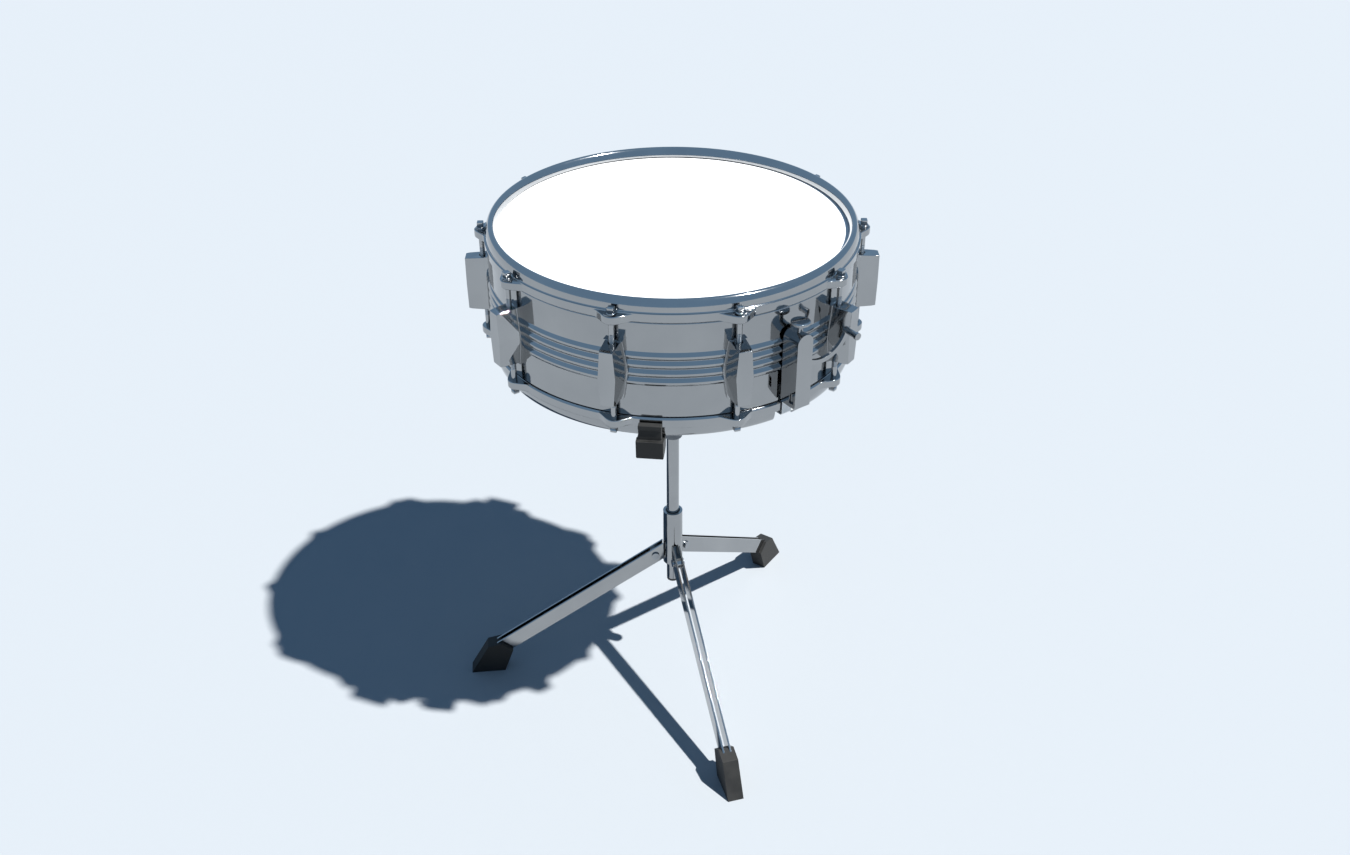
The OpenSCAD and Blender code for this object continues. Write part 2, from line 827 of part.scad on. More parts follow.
module basket_hub() {
    color("gray") difference() {
        union() {
            translate([0, 0, hub_z]) cylinder(r = hub_r, h = 8);
            for (az = arm_az, s = [-1, 1])
                round_at(az) translate([0, s * (arm_t / 2 + air + 1.5), 0]) thick(3) cheek_outline();
        }
        translate([0, 0, hub_z - 1]) cylinder(r = stem_r + touch, h = 20);
        for (az = arm_az) round_at(az, arm_pin_x, arm_pin_z) bar_y(arm_pin_r + touch, 30);
    }
}

module basket_pins() {
    cheek = arm_t / 2 + air + 3;
    color("silver") for (az = arm_az) round_at(az, arm_pin_x, arm_pin_z) {
        bar_y(arm_pin_r, 2 * cheek + 1);
        for (s = [-1, 1]) translate([0, s * (cheek + touch + 0.7), 0]) bar_y(4, 1.4);
    }
}

// Grooved collar that the arms' toes run in
module basket_collar() {
    groove = toe_r + air;
    bore = stem_r + fit;
    bottom = toe_x - toe_r - 0.5;
    color("silver") rotate_extrude() polygon([
        [bore, nut_z + nut_t + air], [11, nut_z + nut_t + air], [11, 384], [hub_r, 384],
        [hub_r, arm_pin_z - groove], [bottom, arm_pin_z - groove],
        [bottom, arm_pin_z + groove], [hub_r, arm_pin_z + groove],
        [hub_r, 399.5], [bore, 399.5]]);
}

module basket_nut() {
    ridges = 24;
    color("dimgray") difference() {
        translate([0, 0, nut_z]) linear_extrude(height = nut_t)
            polygon([for (i = [0:4 * ridges - 1]) let (a = 90 * i / ridges)
                (15 + 0.6 * cos(360 * i / 4)) * [cos(a), sin(a)]]);
        translate([0, 0, nut_z - 1]) cylinder(r = stem_r + fit, h = nut_t + 2);
    }
}

function bezier(p, t) = pow(1 - t, 3) * p[0] + 3 * pow(1 - t, 2) * t * p[1]
    + 3 * (1 - t) * t * t * p[2] + pow(t, 3) * p[3];

// The arm's bar in section: toe, neck and a curved bar that rises to the grip
module arm_bar() {
    way = [[arm_pin_x, arm_pin_z], [90, arm_pin_z], [118, arm_tip_z], [172, arm_tip_z]];
    n = 16;
    line = [for (i = [0:n]) bezier(way, i / n)];
    half = [for (i = [0:n]) 5.5 - 1.5 * i / n];
    neck = arm_pin_x - 7;
    neck_half = 2.2;
    polygon(concat(
        [[toe_x, arm_pin_z + neck_half], [neck, arm_pin_z + neck_half],
         [neck + 3, arm_pin_z + half[0] - 0.5]],
        [for (i = [1:n]) line[i] + [0, half[i]]],
        [[arm_tip_x, arm_tip_z + half[n]], [arm_tip_x, arm_tip_z - half[n]]],
        [for (i = [n:-1:1]) line[i] - [0, half[i]]],
        [[neck + 3, arm_pin_z - half[0] + 0.5], [neck, arm_pin_z - neck_half],
         [toe_x, arm_pin_z - neck_half]]));
}

module basket_arm(az) {
    color("silver") rotate([0, 0, az]) difference() {
        union() {
            thick(arm_t) arm_bar();
            translate([arm_pin_x, 0, arm_pin_z]) bar_y(arm_boss_r, arm_t);
            translate([toe_x, 0, arm_pin_z]) bar_y(toe_r, arm_t);
        }
        translate([arm_pin_x, 0, arm_pin_z]) bar_y(arm_pin_r + fit, 20);
    }
}

// Rubber grip: a block under the hoop and a tab with a lip that stands outside it
module grip(az) {
    seat = drum_mid_z - ledge_h - rim_rise - air;
    tab_x = skirt_out + 1.4;
    color("black") rotate([0, 0, az]) difference() {
        union() {
            thick(26) polygon([[175, 421], [175, seat], [tab_x, seat], [tab_x, 438], [197, 438],
                               [195.5, 418.5], [181, 418.5]]);
            thick(22) polygon([[tab_x, seat - 2], [tab_x, 454], [194.5, 454], [194.5, 449.5],
                               [193.2, 448.5], [193.2, seat - 2]]);
        }
        translate([160, -arm_t / 2 - touch, arm_tip_z - 4 - touch])
            cube([arm_tip_x - 160 + touch, arm_t + 2 * touch, 8 + 2 * touch]);
    }
}

// ---------- nodes ----------

shell();
batter_head();
batter_flesh_hoop();
snare_side_head();
snare_side_flesh_hoop();
top_hoop();
bottom_hoop();
for (i = [1:lug_count])
    lug_casing(i);
swivel_nuts();
shell_screws();
top_tension_rods();
bottom_tension_rods();
rod_washers();
vent_grommet();
strainer_body();
butt_plate();
butt_clamp();
butt_clamp_screws();
snare_wires();
snare_end_plates();
snare_straps();
strainer_slider();
strap_clamp();
strainer_lever();
lever_handle();
tension_knob();
leg_collar();
guide_bush();
leg_pins();
leg_strips(leg_az[0]);  // leg_right
leg_strips(leg_az[1]);  // leg_left
leg_strips(leg_az[2]);  // leg_front
foot(leg_az[0]);  // foot_right
foot(leg_az[1]);  // foot_left
foot(leg_az[2]);  // foot_front
height_screw();
column_tube();
column_plug();
tilter_fork();
tilt_screw();
basket_stem();
basket_hub();
basket_pins();
basket_collar();
basket_nut();
basket_arm(arm_az[0]);  // arm_front
basket_arm(arm_az[1]);  // arm_right
basket_arm(arm_az[2]);  // arm_left
grip(arm_az[0]);  // grip_front
grip(arm_az[1]);  // grip_right
grip(arm_az[2]);  // grip_left
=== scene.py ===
"""Snare drum on its basket stand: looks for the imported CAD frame. Metres, +Z up.

The drum's shell, hoops, casings, rods, snares and knob are built here as finer meshes on the CAD's
sizes. Every other CAD node keeps its shape and gets a material, and most get rounded edges.
"""

import json
import math

import bmesh
import bpy
from mathutils import Matrix, Vector


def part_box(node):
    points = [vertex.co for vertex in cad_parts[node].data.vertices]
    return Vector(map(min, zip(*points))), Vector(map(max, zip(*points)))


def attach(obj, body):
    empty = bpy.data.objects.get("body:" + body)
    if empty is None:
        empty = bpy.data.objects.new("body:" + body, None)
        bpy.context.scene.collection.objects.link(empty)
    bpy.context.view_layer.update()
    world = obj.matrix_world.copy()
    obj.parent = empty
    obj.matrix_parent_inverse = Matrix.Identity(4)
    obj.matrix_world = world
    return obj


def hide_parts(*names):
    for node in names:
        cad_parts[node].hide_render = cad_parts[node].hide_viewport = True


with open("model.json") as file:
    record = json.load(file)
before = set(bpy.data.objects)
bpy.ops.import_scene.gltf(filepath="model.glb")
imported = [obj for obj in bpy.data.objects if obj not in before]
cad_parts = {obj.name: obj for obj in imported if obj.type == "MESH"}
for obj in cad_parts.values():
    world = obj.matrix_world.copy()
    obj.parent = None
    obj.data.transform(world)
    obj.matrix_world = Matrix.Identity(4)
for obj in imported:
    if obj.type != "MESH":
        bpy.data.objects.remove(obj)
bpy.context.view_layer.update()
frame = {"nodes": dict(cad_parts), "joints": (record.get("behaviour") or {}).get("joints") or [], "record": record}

NODES = frame["nodes"]
BODY_OF = {n: b for b, ns in frame["record"]["behaviour"]["bodies"].items() for n in ns}
SLOT_OF = {s["node"]: s["material_slot"] for s in frame["record"]["subparts"]}
SCENE = bpy.context.scene
MM = 0.001
FULL_TURN = 2 * math.pi


# ---------- places, all from the frame ----------

def centre(node_name):
    low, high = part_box(node_name)
    return (low + high) / 2


def azimuth(vector):
    return math.atan2(vector[1], vector[0])


def turn(a, b):
    """The signed turn from b to a, within half a turn either way."""
    return (a - b + math.pi) % FULL_TURN - math.pi


# the drum's middle plane
DRUM_Z = (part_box("batter_head")[1].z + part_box("snare_side_head")[0].z) / 2
STRAINER_AZ = azimuth(next(j["axis"] for j in frame["joints"] if j["name"] == "lever_swing"))
CASINGS = [f"lug_casing_{i}" for i in range(1, 11)]
LUG_AZ = [azimuth(centre(casing)) for casing in CASINGS]


# ---------- shader node helpers ----------

# most of a noise texture's values lie between these
NOISE_LOW, NOISE_HIGH = 0.3, 0.7


def new_material(name, fixed=None):
    """A material, its node tree and its shader, with fixed values on the shader's own sockets."""
    material = bpy.data.materials.new(name)
    material.use_nodes = True
    shader = material.node_tree.nodes["Principled BSDF"]
    for socket, value in (fixed or {}).items():
        shader.inputs[socket].default_value = value
    return material, material.node_tree, shader


def node(tree, kind, **settings):
    """A new node; each setting is a socket's value or a property of the node."""
    made = tree.nodes.new(kind)
    for key, value in settings.items():
        if key in made.inputs:
            made.inputs[key].default_value = value
        else:
            setattr(made, key, value)
    return made


def wire(tree, shader, sources):
    """Links the shader's sockets, each to its source."""
    for socket, source in sources.items():
        tree.links.new(source, shader.inputs[socket])


def coords(tree, stretch=(1, 1, 1)):
    """Object coordinates, stretched so that a pattern runs along one axis."""
    where = node(tree, "ShaderNodeTexCoord")
    mapping = node(tree, "ShaderNodeMapping", Scale=stretch)
    tree.links.new(where.outputs["Object"], mapping.inputs["Vector"])
    return mapping.outputs["Vector"]


def noise(tree, vector, scale, detail=3.0, rough=0.55):
    made = node(tree, "ShaderNodeTexNoise", Scale=scale, Detail=detail, Roughness=rough)
    tree.links.new(vector, made.inputs["Vector"])
    return made.outputs["Fac"]


def remap(tree, value, low, high):
    """A number that runs from low to high as a noise value rises."""
    made = node(tree, "ShaderNodeMapRange",
                **{"From Min": NOISE_LOW, "From Max": NOISE_HIGH, "To Min": low, "To Max": high})
    tree.links.new(value, made.inputs["Value"])
    return made.outputs["Result"]


def tint(tree, value, dark, light):
    """A colour that runs from dark to light as a noise value rises."""
    ramp = node(tree, "ShaderNodeValToRGB")
    first, last = ramp.color_ramp.elements
    first.position, last.position = NOISE_LOW, NOISE_HIGH
    first.color, last.color = (*dark, 1), (*light, 1)
    tree.links.new(value, ramp.inputs["Fac"])
    return ramp.outputs["Color"]


def bump(tree, height, strength, distance):
    made = node(tree, "ShaderNodeBump", Strength=strength, Distance=distance)
    tree.links.new(height, made.inputs["Height"])
    return made.outputs["Normal"]


def mix(tree, first, second, share):
    """Two values mixed; share is the second's part."""
    made = node(tree, "ShaderNodeMix", data_type="FLOAT", Factor=share)
    tree.links.new(first, made.inputs["A"])
    tree.links.new(second, made.inputs["B"])
    return made.outputs["Result"]


# ---------- materials ----------

def metal(name, dark, light, rough, stretch=(1, 1, 1), grain=600.0, ripple=0.02, dents=0.0):
    """Polished metal: cloudy tone, smudges in its gloss, and fine polish lines along one axis."""
    material, tree, shader = new_material(name, {"Metallic": 1.0})
    plain = coords(tree)
    cloud = noise(tree, plain, scale=14.0, detail=4.0)
    lines = noise(tree, coords(tree, stretch), scale=grain, detail=5.0)
    smudge = noise(tree, plain, scale=55.0, detail=5.0, rough=0.65)
    height = lines
    if dents:
        height = mix(tree, lines, noise(tree, plain, scale=9.0, detail=2.0), dents)
    wire(tree, shader, {
        "Base Color": tint(tree, cloud, dark, light),
        "Roughness": remap(tree, mix(tree, smudge, lines, 0.35), *rough),
        "Normal": bump(tree, height, ripple, distance=0.0004)})
    return material


METALS = {
    "polished_steel": dict(dark=(0.303, 0.310, 0.316), light=(0.345, 0.351, 0.354),
                           rough=(0.045, 0.10), stretch=(0.12, 0.12, 3.0), grain=420.0,
                           ripple=0.018, dents=0.55),
    "chrome": dict(dark=(0.315, 0.322, 0.328), light=(0.362, 0.368, 0.371), rough=(0.05, 0.12)),
    "stand_chrome": dict(dark=(0.302, 0.308, 0.315), light=(0.360, 0.366, 0.370),
                         rough=(0.03, 0.09), stretch=(1.0, 1.0, 0.15), grain=500.0,
                         ripple=0.025),
    "rod_steel": dict(dark=(0.33, 0.336, 0.342), light=(0.392, 0.397, 0.40),
                      rough=(0.07, 0.16), ripple=0.03),
    "zinc_pins": dict(dark=(0.30, 0.315, 0.335), light=(0.37, 0.385, 0.40),
                      rough=(0.14, 0.26), ripple=0.04),
    "snare_steel": dict(dark=(0.40, 0.41, 0.42), light=(0.50, 0.51, 0.52),
                        rough=(0.16, 0.28), ripple=0.03),
    "flesh_hoop": dict(dark=(0.42, 0.43, 0.44), light=(0.50, 0.51, 0.52),
                       rough=(0.22, 0.38), ripple=0.04),
    "brass": dict(dark=(0.50, 0.36, 0.13), light=(0.62, 0.47, 0.20),
                  rough=(0.14, 0.30), ripple=0.03),
    "copper_plate": dict(dark=(0.46, 0.25, 0.14), light=(0.58, 0.34, 0.20),
                         rough=(0.18, 0.32), ripple=0.03),
}


def cast_metal():
    """Satin grey casting with a fine sand-cast grain."""
    material, tree, shader = new_material("cast_metal", {"Metallic": 0.85})
    plain = coords(tree)
    grain = noise(tree, plain, scale=1500.0)
    cloud = noise(tree, plain, scale=60.0, detail=4.0)
    wire(tree, shader, {
        "Base Color": tint(tree, cloud, (0.10, 0.11, 0.12), (0.17, 0.18, 0.195)),
        "Roughness": remap(tree, cloud, 0.30, 0.45),
        "Normal": bump(tree, grain, strength=0.25, distance=0.0003)})
    return material


def head_film():
    """Sprayed white coating: a fine pebbled grain with faintly worn patches."""
    material, tree, shader = new_material("head_film")
    plain = coords(tree)
    pebble = noise(tree, plain, scale=1400.0, detail=2.0, rough=0.6)
    mottle = noise(tree, plain, scale=22.0, detail=5.0, rough=0.6)
    wire(tree, shader, {
        "Base Color": tint(tree, mottle, (0.73, 0.735, 0.73), (0.79, 0.79, 0.785)),
        "Roughness": remap(tree, mottle, 0.62, 0.50),
        "Normal": bump(tree, pebble, strength=0.22, distance=0.00025)})
    return material


def clear_film():
    """Hazy translucent film."""
    material, tree, shader = new_material("clear_film", {"Transmission Weight": 0.55, "IOR": 1.5})
    plain = coords(tree)
    haze = noise(tree, plain, scale=40.0, detail=4.0)
    wire(tree, shader, {
        "Base Color": tint(tree, haze, (0.80, 0.82, 0.81), (0.90, 0.91, 0.90)),
        "Roughness": remap(tree, haze, 0.22, 0.34),
        "Normal": bump(tree, noise(tree, plain, scale=700.0), strength=0.04, distance=0.0003)})
    return material


def strap():
    """Thin milky strap with a faint lengthwise weave."""
    material, tree, shader = new_material("strap", {"Roughness": 0.45})
    plain = coords(tree)
    weave = node(tree, "ShaderNodeTexWave", Scale=600.0, Distortion=1.0)
    tree.links.new(plain, weave.inputs["Vector"])
    cloud = noise(tree, plain, scale=80.0)
    wire(tree, shader, {
        "Base Color": tint(tree, cloud, (0.62, 0.62, 0.60), (0.76, 0.76, 0.74)),
        "Normal": bump(tree, weave.outputs["Fac"], strength=0.2, distance=0.0002)})
    return material


def black_plastic():
    """Moulded black plastic with a fine texture."""
    material, tree, shader = new_material("black_plastic")
    plain = coords(tree)
    cloud = noise(tree, plain, scale=90.0, detail=4.0)
    wire(tree, shader, {
        "Base Color": tint(tree, cloud, (0.006, 0.006, 0.0065), (0.016, 0.016, 0.017)),
        "Roughness": remap(tree, cloud, 0.28, 0.42),
        "Normal": bump(tree, noise(tree, plain, scale=1800.0), strength=0.12, distance=0.0002)})
    return material


def rubber():
    """Moulded black rubber: dusty cloud, dull sheen and a fine grain."""
    material, tree, shader = new_material("rubber", {
        "Specular IOR Level": 0.28, "Sheen Weight": 0.04, "Sheen Roughness": 0.5})
    plain = coords(tree)
    dust = noise(tree, plain, scale=45.0, detail=6.0, rough=0.65)
    grain = noise(tree, plain, scale=1600.0, detail=2.0)
    wire(tree, shader, {
        "Base Color": tint(tree, dust, (0.0045, 0.0045, 0.0043), (0.016, 0.016, 0.015)),
        "Roughness": remap(tree, dust, 0.52, 0.75),
        "Normal": bump(tree, grain, strength=0.3, distance=0.0003)})
    return material


MATERIALS = {name: metal(name, **look) for name, look in METALS.items()}
MATERIALS.update({make.__name__: make() for make in (
    cast_metal, head_film, clear_film, strap, black_plastic, rubber)})


# ---------- pieces ----------

REPLACED = set()        # the CAD nodes that a piece stands for


def finish_mesh(bm, name):
    """Merges the doubled points of a mesh, drops its empty faces and shades it smooth."""
    bmesh.ops.remove_doubles(bm, verts=bm.verts, dist=0.003 * MM)
    bmesh.ops.dissolve_degenerate(bm, edges=bm.edges, dist=0.002 * MM)
    bmesh.ops.recalc_face_normals(bm, faces=bm.faces)
    for face in bm.faces:
        face.smooth = True
    mesh = bpy.data.meshes.new(name)
    bm.to_mesh(mesh)
    bm.free()
    return mesh


def piece(name, mesh, node_name):
    """Links a mesh as a piece that replaces a CAD node, on its body and with its finish."""
    made = bpy.data.objects.new(name, mesh)
    SCENE.collection.objects.link(made)
    slot = SLOT_OF[node_name]
    mesh.materials.append(MATERIALS[slot])
    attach(made, BODY_OF[node_name])
    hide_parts(node_name)
    REPLACED.add(node_name)
    return made


def even_normals(made):
    """Lets the large faces decide the shading, so that flats stay flat beside small bevels."""
    normals = made.modifiers.new("normals", "WEIGHTED_NORMAL")
    normals.keep_sharp = False
    normals.weight = 80


def soften(made, width):
    """Rounds the sharp edges of a CAD node."""
    weld = made.modifiers.new("weld", "WELD")
    weld.merge_threshold = 0.02 * MM
    edge = made.modifiers.new("edge", "BEVEL")
    edge.width = width
    edge.segments = 2
    edge.limit_method = "ANGLE"
    edge.angle_limit = math.radians(35)
    edge.miter_outer = "MITER_ARC"
    even_normals(made)


def clean_normals(shape):
    """Drops the normals that a CAD mesh came with, which would fight its modifiers."""
    if shape.data.has_custom_normals:
        with bpy.context.temp_override(object=shape, active_object=shape):
            bpy.ops.mesh.customdata_custom_splitnormals_clear()


def dress(node_name, width):
    """Gives a CAD node its material, and rounds its edges by width."""
    shape = NODES[node_name]
    shape.data.materials.clear()
    shape.data.materials.append(MATERIALS[SLOT_OF[node_name]])
    clean_normals(shape)
    shape.data.shade_smooth()
    if width:
        soften(shape, width)
    else:
        shape.data.set_sharp_from_angle(angle=math.radians(32))


# ---------- mesh helpers ----------

def arc_points(cx, cy, rx, ry, start, end, count):
    """Points of an ellipse from one angle to another, in degrees."""
    turns = [math.radians(start + (end - start) * i / count) for i in range(count + 1)]
    return [(cx + rx * math.cos(t), cy + ry * math.sin(t)) for t in turns]


def lathe(columns, closed=True):
    """A ring of quads through columns, each (angle, [(radius, height), ...]) in mm."""
    bm = bmesh.new()
    rows = []
    for angle, profile in columns:
        c, s = math.cos(angle) * MM, math.sin(angle) * MM
        rows.append([bm.verts.new((r * c, r * s, z * MM)) for r, z in profile])
    count = len(rows[0])
    for here, there in zip(rows, rows[1:] + rows[:1]):
        for j in range(count if closed else count - 1):
            k = (j + 1) % count
            bm.faces.new((here[j], there[j], there[k], here[k]))
    return bm


def even_ring(profile, count):
    """One profile at count even angles, for lathe."""
    return [(FULL_TURN * i / count, profile) for i in range(count)]


def joined(sources):
    """One bmesh from several (bmesh, matrix) pairs; a bmesh may be used more than once."""
    whole = bmesh.new()
    for part, matrix in sources:
        mesh = bpy.data.meshes.new("part")
        part.to_mesh(mesh)
        mesh.transform(matrix)
        whole.from_mesh(mesh)
        bpy.data.meshes.remove(mesh)
    return whole


def block(x0, x1, y0, y1, z0, z1):
    """An upright box between two corners, in mm."""
    bm = bmesh.new()
    bmesh.ops.create_cube(bm, size=1.0)
    for v in bm.verts:
        v.co = Vector(((x0, x1)[v.co.x > 0], (y0, y1)[v.co.y > 0], (z0, z1)[v.co.z > 0])) * MM
    return bm


def cylinder(x, radius, z0, z1):
    """An upright closed cylinder on the XZ plane for cutting holes, in mm."""
    bm = bmesh.new()
    bmesh.ops.create_cone(bm, cap_ends=True, segments=32, radius1=radius * MM,
                          radius2=radius * MM, depth=(z1 - z0) * MM,
                          matrix=Matrix.Translation((x * MM, 0, (z0 + z1) / 2 * MM)))
    return bm


def at_azimuth(angle, height=0.0, flip=False):
    """Places a part drawn at azimuth 0 and the drum's middle plane; flip hangs it upside down."""
    turned = Matrix.Translation((0, 0, height)) @ Matrix.Rotation(angle, 4, "Z")
    return turned @ Matrix.Diagonal((1, 1, -1, 1)) if flip else turned


def cut_away(mesh, *cutters):
    """The mesh with closed shapes cut out of it; it has to be one closed shell itself."""
    body = bpy.data.objects.new("body", mesh)
    tools = []
    for bm in cutters:
        shape = bpy.data.meshes.new("cutter")
        bm.to_mesh(shape)
        bm.free()
        tools.append(bpy.data.objects.new("cutter", shape))
    for made in (body, *tools):
        SCENE.collection.objects.link(made)
    for tool in tools:
        cut = body.modifiers.new("cut", "BOOLEAN")
        cut.operation = "DIFFERENCE"
        cut.solver = "EXACT"
        cut.object = tool
    bpy.context.view_layer.update()
    graph = bpy.context.evaluated_depsgraph_get()
    result = bpy.data.meshes.new_from_object(body.evaluated_get(graph))
    for made in (body, *tools):
        data = made.data
        bpy.data.objects.remove(made)
        bpy.data.meshes.remove(data)
    return result


# ---------- shell; all of the drum is in mm, with heights from its middle plane ----------

SHELL_R, WALL = 184.5, 1.2          # the shell's outer radius and thickness
NECK_R = 177.1                      # the turned-in neck's outer radius
SHOULDER_H, NECK_H = 48.0, 51.0     # where the wall starts to turn in, and where it has done so
EDGE_H, EDGE_BEVEL = 60.35, 1.5     # the bearing edge
BEADS, BEAD_PITCH = 4, 8.9
BEAD_RISE, BEAD_MID = 2.5, 2.0      # how far a bead stands out, and the height of their middle
BEAD_POWER = 1.6                    # a bead's crest: 1 is a sharp ridge and 2 a parabola
VENT_R = 6.05                       # the hole for the vent grommet


def bead_line(radius, steps):
    """Rounded beads with sharp valleys, from the lowest to the highest."""
    low = BEAD_MID - BEADS * BEAD_PITCH / 2
    line = []
    for i in range(steps * BEADS + 1):
        t = (i % steps) / steps
        rise = BEAD_RISE * (1 - abs(2 * t - 1) ** BEAD_POWER)
        line.append((radius + rise, low + i * BEAD_PITCH / steps))
    return line


def shell_line(radius, neck, drop, bevel, steps):
    """One face of the wall from the lower edge to the upper; drop lowers the shoulder."""
    shoulder = arc_points(neck, SHOULDER_H, radius - neck, NECK_H - SHOULDER_H - drop, 0, 90, 10)
    low = [(r, -h) for r, h in reversed(shoulder)]
    return ([(neck, bevel - EDGE_H)] + low + bead_line(radius, steps) + shoulder
            + [(neck, EDGE_H - bevel)])


def drum_shell():
    """The beaded shell, with a hole for the vent grommet."""
    outer = shell_line(SHELL_R, NECK_R, drop=0.0, bevel=EDGE_BEVEL, steps=16)
    inner = shell_line(SHELL_R - WALL, NECK_R - WALL, drop=WALL, bevel=0.0, steps=8)
    bm = lathe(even_ring(outer + inner[::-1], 360))
    bm.transform(Matrix.Translation((0, 0, DRUM_Z)))
    vent = centre("vent_grommet")
    bore = cylinder(0, VENT_R, 170, 200)
    bore.transform(Matrix.Translation((0, 0, vent.z)) @ Matrix.Rotation(azimuth(vent), 4, "Z")
                   @ Matrix.Rotation(math.pi / 2, 4, "Y"))
    mesh = cut_away(finish_mesh(bm, "drum_shell"), bore)
    even_normals(piece("drum_shell", mesh, "shell"))


# ---------- hoops ----------

SKIRT_OUT, SKIRT_IN = 186.5, 184.1
SKIRT_H, SKIRT_BEVEL = 49.5, 1.6        # the skirt's end
HOOP_IN = 178.2
LEDGE_H, LEDGE_LOW = 59.2, 56.4         # the ledge over the flesh hoop
RIM_MID, RIM_HALF = 179.4, 5.5          # the rim is half an ellipse that stands on the ledge
RIM_RISE, RIM_UNDER = 12.4, 62.3        # its height, and where its inner side ends
EAR_H, EAR_T = 57.8, 7.8                # an ear's top and its thickness
EAR_REACH, EAR_BEVEL = 197.0, 0.9
EAR_HALF = math.radians(6.0)            # half the angle that an ear takes up
GATE_HALF = math.asin(12.0 / RIM_MID)   # half the angle of the gaps that the straps pass through
HOOP_STEPS, EAR_STEPS = 240, 14
STEP_ASIDE = 0.0002                     # each end of a gap has a column this far to either side


def hoop_profile(ear, gate):
    """The hoop's section where an ear stands out by the share ear, or where the gate is cut."""
    out = SKIRT_OUT + (EAR_REACH - SKIRT_OUT) * ear
    bevel = EAR_BEVEL * min(1.0, 4 * ear)
    low = EAR_H - EAR_T
    share = min(1.0, 6 * ear)

    def lean(skirt, slab):
        """A point that moves from the skirt's bevel to the ear's underside as the ear grows."""
        return tuple(a + (b - a) * share for a, b in zip(skirt, slab))

    under = math.degrees(math.asin((RIM_UNDER - LEDGE_H) / RIM_RISE))
    rim = arc_points(RIM_MID, LEDGE_H, RIM_HALF, RIM_RISE, 0, 180 - under, 28)
    inside = [(rim[-1][0] + 0.5, RIM_UNDER - 0.2), (HOOP_IN, RIM_UNDER), (HOOP_IN, LEDGE_LOW)]
    if gate:
        rim = [(max(r, HOOP_IN), LEDGE_H) for r, _ in rim]
        inside = [(HOOP_IN, LEDGE_H), (HOOP_IN, LEDGE_H), (HOOP_IN, LEDGE_LOW)]
    return rim + inside + [
        (SKIRT_IN, LEDGE_LOW), (SKIRT_IN, SKIRT_H + 0.2), (SKIRT_IN + 0.2, SKIRT_H),
        (SKIRT_OUT - SKIRT_BEVEL, SKIRT_H), (SKIRT_OUT - SKIRT_BEVEL + 0.5, SKIRT_H + 0.5),
        lean((SKIRT_OUT - 0.2, SKIRT_H + SKIRT_BEVEL - 0.2), (out - bevel, low)),
        lean((SKIRT_OUT - 0.05, SKIRT_H + SKIRT_BEVEL), (out - bevel * 0.3, low + bevel * 0.3)),
        lean((SKIRT_OUT, SKIRT_H + SKIRT_BEVEL + 0.2), (out, low + bevel)),
        (out, EAR_H - bevel), (out - bevel * 0.3, EAR_H - bevel * 0.3), (out - bevel, EAR_H),
        (SKIRT_OUT, EAR_H + 0.05), (SKIRT_OUT, LEDGE_H - 0.5), (SKIRT_OUT - 0.15, LEDGE_H - 0.12),
        (SKIRT_OUT - 0.5, LEDGE_H)]


def hoop_angles(gates):
    """Where the section is drawn: evenly, closer together over the ears, and beside each gap."""
    angles = {round(math.radians(360 / HOOP_STEPS * i), 5) for i in range(HOOP_STEPS)}
    for lug in LUG_AZ:
        angles = {a for a in angles if abs(turn(a, lug)) > EAR_HALF * 1.05}
        angles |= {round((lug + EAR_HALF * i / EAR_STEPS) % FULL_TURN, 5)
                   for i in range(-EAR_STEPS, EAR_STEPS + 1)}
    for gate in gates:
        for side in (-1, 1):
            for step in (-STEP_ASIDE, STEP_ASIDE):
                angles.add((gate + side * (GATE_HALF + step)) % FULL_TURN)
    return sorted(angles)


def hoop(name, node_name, flip, gates=()):
    """A cast hoop swept round the drum, with an ear at each lug and a gap at each gate."""
    columns = []
    for angle in hoop_angles(gates):
        off = min(abs(turn(angle, lug)) for lug in LUG_AZ)
        ear = math.cos(math.pi / 2 * off / EAR_HALF) ** 2 if off < EAR_HALF else 0.0
        gate = any(abs(turn(angle, g)) < GATE_HALF for g in gates)
        columns.append((angle, hoop_profile(ear, gate)))
    bm = lathe(columns)
    bm.transform(at_azimuth(0.0, DRUM_Z, flip))
    even_normals(piece(name, finish_mesh(bm, name), node_name))


# ---------- lug casings ----------

CASING_BASE, CASING_FRONT, CASING_END = 183.9, 208.0, 27.9
FLANGE_FRONT = SHELL_R + BEAD_RISE + 1.2
CASING_BEVEL, FLANGE_BEVEL = 0.45, 0.3
ROD_X = 190.5                           # the tension rods' radius from the drum's axis
BORE_R, BORE_MID, BORE_HALF = 3.9, 24, 12


def mirrored_block(corners, bevel):
    """The convex shape of corners mirrored in y and z, with rounded edges, in mm."""
    bm = bmesh.new()
    for sy in (-1, 1):
        for sz in (-1, 1):
            for x, y, z in corners:
                bm.verts.new((x * MM, sy * y * MM, sz * z * MM))
    bmesh.ops.remove_doubles(bm, verts=bm.verts, dist=0.01 * MM)
    hull = bmesh.ops.convex_hull(bm, input=bm.verts)
    spare = [g for g in hull["geom_interior"] if isinstance(g, bmesh.types.BMVert)]
    bmesh.ops.delete(bm, geom=spare, context="VERTS")
    bmesh.ops.dissolve_limit(bm, angle_limit=math.radians(4), verts=bm.verts, edges=bm.edges)
    bmesh.ops.bevel(bm, geom=bm.edges[:], offset=bevel * MM, segments=2, profile=0.6,
                    affect="EDGES", clamp_overlap=True)
    return bm


